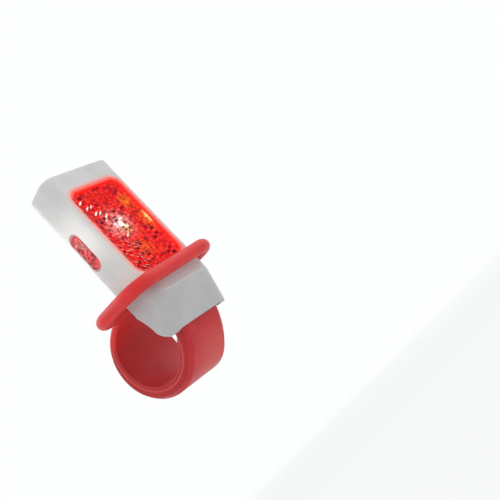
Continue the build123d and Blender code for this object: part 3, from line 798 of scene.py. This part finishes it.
def trim_to_window(field):
    """Cuts off the field outside the window."""
    activate(field)
    for point, direction in (
        ((field_width / 2, 0, 0), (1, 0, 0)),
        ((-field_width / 2, 0, 0), (-1, 0, 0)),
        ((0, 0, window_level + field_height / 2), (0, 0, 1)),
        ((0, 0, window_level - field_height / 2), (0, 0, -1)),
    ):
        bpy.ops.object.mode_set(mode="EDIT")
        bpy.ops.mesh.select_all(action="SELECT")
        bpy.ops.mesh.bisect(plane_co=point, plane_no=direction, clear_outer=True)
        bpy.ops.object.mode_set(mode="OBJECT")


def facet_light(face):
    """A facet's painted light: by chance, by the way it leans, and more at the top and right edges."""
    lower = face.center.z < lower_part
    if face.area < narrow_strip:
        tone = random.choice(strip_lights)
    elif face.normal.x < -0.2:
        tone = random.choice(left_lights)
    elif face.normal.z > 0.1:
        tone = random.uniform(0.62, 0.93) if lower else random.uniform(0.05, 0.45)
    else:
        tone = random.uniform(0.06, 0.46) if lower else random.uniform(0.04, 0.44)
    if face.center.z > bright_top or face.center.x > bright_side:
        tone = 0.66 + random.uniform(-0.14, 0.14)
    return min(brightest, tone)


def add_prisms():
    """The lens's prism sheet: every facet has a painted light, and the large ones vary within it."""
    field = prism_field()
    trim_to_window(field)
    random.seed(5)
    facet_lights = field.data.attributes.new("facet_light", "FLOAT", "FACE").data
    for face in field.data.polygons:
        facet_lights[face.index].value = facet_light(face)
    select_faces(field, lambda face: face.area > large_facet)
    bpy.ops.mesh.subdivide(number_cuts=1)
    bpy.ops.object.mode_set(mode="OBJECT")
    facet_lights = field.data.attributes["facet_light"].data
    for face in field.data.polygons:
        if face.area > smallest_varied:
            tone = facet_lights[face.index].value + random.uniform(-0.2, 0.2)
            facet_lights[face.index].value = max(0.0, min(brightest, tone))
    settle(field, lit_prisms(), "cover", "red_lens")


def rounded_plate(name, width, height, corner, front, back):
    """An upright plate with rounded corners, between two depths."""
    deselect()
    bpy.ops.mesh.primitive_cube_add(size=1, location=(0, (front + back) / 2, window_level))
    plate = bpy.context.object
    plate.name = name
    plate.scale = (width, back - front, height)
    apply_place(plate)
    round_edges(plate, lambda first, second: abs(first.y - second.y) > abs(back - front) / 2, corner, 10)
    return plate


def add_lens():
    """The lens's rim, hollowed for the prisms, and its flange behind the window's edge."""
    lens = rounded_plate(
        "lens_rim", window_width - 2 * lens_clearance, window_height - 2 * lens_clearance,
        window_corner - lens_clearance, lens_face, lens_back,
    )
    select_faces(lens, lambda face: face.normal.y < -0.9)
    bpy.ops.mesh.inset(thickness=lens_wall)
    bpy.ops.mesh.extrude_region_move(TRANSFORM_OT_translate={"value": (0, lens_well, 0)})
    bpy.ops.object.mode_set(mode="OBJECT")
    at_face = lens_face + 0.01 * MM
    round_edges(lens, lambda first, second: max(first.y, second.y) < at_face, lens_rounding, 3)
    flange = rounded_plate(
        "lens_flange", window_width + 2 * flange_overlap, window_height + 2 * flange_overlap,
        window_corner + flange_overlap, flange_front, lens_back,
    )
    deselect()
    flange.select_set(True)
    lens.select_set(True)
    bpy.context.view_layer.objects.active = lens
    bpy.ops.object.join()
    smooth(lens, 35)
    settle(lens, clear_red_lens(), "cover", "red_lens", "reflector_lens")


def add_key():
    """The side key, with its outer edge rounded."""
    key = own_copy("side_key", "side_key_cap")
    round_edges(key, lambda first, second: max(first.x, second.x) < behind_key_face, key_rounding, 3)
    smooth(key, 40)
    settle(key, key_red(), "key", "red_lens", "side_key")


def add_foot():
    """The foot, with its front crease rounded."""
    foot = own_copy("foot", "foot_shell")

    def crease(first, second):
        in_front = max(first.y, second.y) < behind_crease
        return in_front and abs(first.z - crease_level) + abs(second.z - crease_level) < 0.1 * MM

    round_edges(foot, crease, crease_rounding, 4, 20)
    smooth(foot, 32)
    even_shading(foot)
    settle(foot, pale_grey_polycarbonate(), "light", "grey_plastic", "foot")


def add_strap():
    """The strap, with its parts run into one another as in one moulding."""
    strap = own_copy("strap", "silicone_strap")
    apply_modifier(strap, "REMESH", mode="VOXEL", voxel_size=strap_voxel, adaptivity=0.0)
    apply_modifier(strap, "SMOOTH", factor=0.5, iterations=6)
    smooth(strap, 60)
    settle(strap, red_silicone(), "light", "red_silicone", "strap")


add_cover()
add_prisms()
add_lens()
add_key()
add_foot()
add_strap()


# Floor, lamps and camera

studio_white = (0.985, 0.995, 1.0)
floor_level = -0.085
floor_width = 4
white_from = 0.25
white_by = 1.1
lamp_aim = (0, 0, 0.02)

# Each lamp's name, place, width and power
lamps = (
    ("key_lamp", (0.24, -0.30, 0.30), 0.60, 0.94),
    ("fill_lamp", (-0.38, -0.10, 0.16), 0.30, 0.26),
    ("back_lamp", (-0.10, 0.35, 0.30), 0.30, 0.50),
)


def shown_white(tree, shaded, white, share=1.0):
    """Mixes a shaded look with this share of plain white for the camera, mirrors and glass."""
    path = tree.nodes.new("ShaderNodeLightPath")
    seen = calc(tree, "MAXIMUM", path.outputs["Is Camera Ray"], path.outputs["Is Glossy Ray"])
    seen = calc(tree, "MULTIPLY", calc(tree, "MAXIMUM", seen, path.outputs["Is Transmission Ray"]), share)
    mix = tree.nodes.new("ShaderNodeMixShader")
    tree.links.new(seen, mix.inputs["Fac"])
    tree.links.new(shaded, mix.inputs[1])
    tree.links.new(white, mix.inputs[2])
    return mix.outputs[0]


def add_floor():
    """A pale floor that keeps the light's shadow and fades to white further out."""
    deselect()
    bpy.ops.mesh.primitive_plane_add(size=floor_width, location=(0, 0, floor_level))
    floor = bpy.context.object
    floor.name = "floor"
    material, tree, shader = new_material("pale_floor", (0.86, 0.87, 0.88), 0.8)
    cloud = clouds(tree, 6, 2)
    pale_grey = (0.84, 0.85, 0.86)
    paler_grey = (0.88, 0.89, 0.90)
    set_color(tree, shader, mix_color(tree, cloud, pale_grey, paler_grey))
    glowing = tree.nodes.new("ShaderNodeEmission")
    feed(tree, glowing.inputs["Color"], studio_white)
    from_middle = tree.nodes.new("ShaderNodeVectorMath")
    from_middle.operation = "LENGTH"
    tree.links.new(object_point(tree), from_middle.inputs[0])
    white_share = fade(tree, from_middle.outputs["Value"], white_from, white_by, 0.8, 1.0)
    surface = shown_white(tree, shader.outputs[0], glowing.outputs[0], white_share)
    tree.links.new(surface, tree.nodes["Material Output"].inputs["Surface"])
    floor.data.materials.append(material)


def add_surround():
    """Soft light from all round, which shows as plain white."""
    world = bpy.data.worlds.new("studio")
    bpy.context.scene.world = world
    world.use_nodes = True
    tree = world.node_tree
    surround = tree.nodes["Background"]
    feed(tree, surround.inputs["Color"], (0.97, 0.985, 1.0))
    surround.inputs["Strength"].default_value = 0.50
    bright = tree.nodes.new("ShaderNodeBackground")
    feed(tree, bright.inputs["Color"], studio_white)
    bright.inputs["Strength"].default_value = 1.0
    surface = shown_white(tree, surround.outputs[0], bright.outputs[0])
    tree.links.new(surface, tree.nodes["World Output"].inputs["Surface"])


def soft_lamp(name, place, size, power):
    """A square soft lamp that faces the light."""
    data = bpy.data.lights.new(name, "AREA")
    data.size = size
    data.energy = power
    lamp = bpy.data.objects.new(name, data)
    bpy.context.scene.collection.objects.link(lamp)
    lamp.location = place
    lamp.rotation_euler = (Vector(lamp_aim) - Vector(place)).to_track_quat("-Z", "Y").to_euler()


def add_camera():
    """A camera with the photograph's view, from its three directions and its place."""
    right = Vector((0.5323, -0.4901, -0.6903))
    up = Vector((0.3273, -0.6328, 0.7017))
    forward = Vector((0.7807, 0.5994, 0.1764))
    place = Vector((-164.03, -170.47, -40.60)) * MM
    data = bpy.data.cameras.new("camera")
    data.lens = 57.25
    data.sensor_width = 36
    data.clip_start = 0.005
    camera = bpy.data.objects.new("camera", data)
    bpy.context.scene.collection.objects.link(camera)
    view = Matrix((right, up, -forward)).transposed().to_4x4()
    view.translation = place
    camera.matrix_world = view
    bpy.context.scene.camera = camera


add_floor()
add_surround()
for lamp in lamps:
    soft_lamp(*lamp)
add_camera()
bpy.context.scene.view_settings.view_transform = "Standard"
